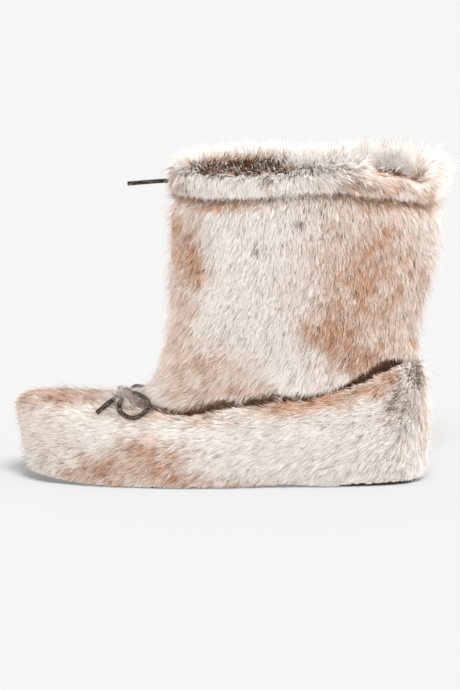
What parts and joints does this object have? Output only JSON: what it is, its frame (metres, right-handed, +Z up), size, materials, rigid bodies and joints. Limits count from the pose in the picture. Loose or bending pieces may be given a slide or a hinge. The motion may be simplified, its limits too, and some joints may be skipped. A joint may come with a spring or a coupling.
{
  "type": "faux fur boot",
  "caption": "Short wide pull-on boot of long pale and brown faux fur, with a moccasin-shaped upper tied by a leather cord, a gathered drawcord cuff and a thin rubber sole.",
  "frame": {"origin": "on the floor under the middle of the heel's flat spot", "axes": "+Z up, the toe points along -X, the outer side of the foot faces -Y"},
  "size_m": [0.2975, 0.1236, 0.2265],
  "materials": {
    "sole_rubber": "matt, finely ribbed",
    "insole_felt": "felted",
    "upper_fur": "long pile, cream with brown patches",
    "shaft_fur": "long pile, cream with brown patches",
    "cuff_fur": "long pile, cream",
    "eyelet_thread": "stitched",
    "cord_leather": "smooth, dark, round"
  },
  "bodies": {
    "root": {"outsole": "sole_rubber", "insole": "insole_felt", "upper": "upper_fur", "shaft": "shaft_fur", "cuff": "cuff_fur", "cord_eyelet": "eyelet_thread", "collar_cord": "cord_leather", "instep_knot": "cord_leather", "instep_loop": "cord_leather", "instep_end": "cord_leather", "instep_far_loop": "cord_leather"}
  },
  "joints": []
}
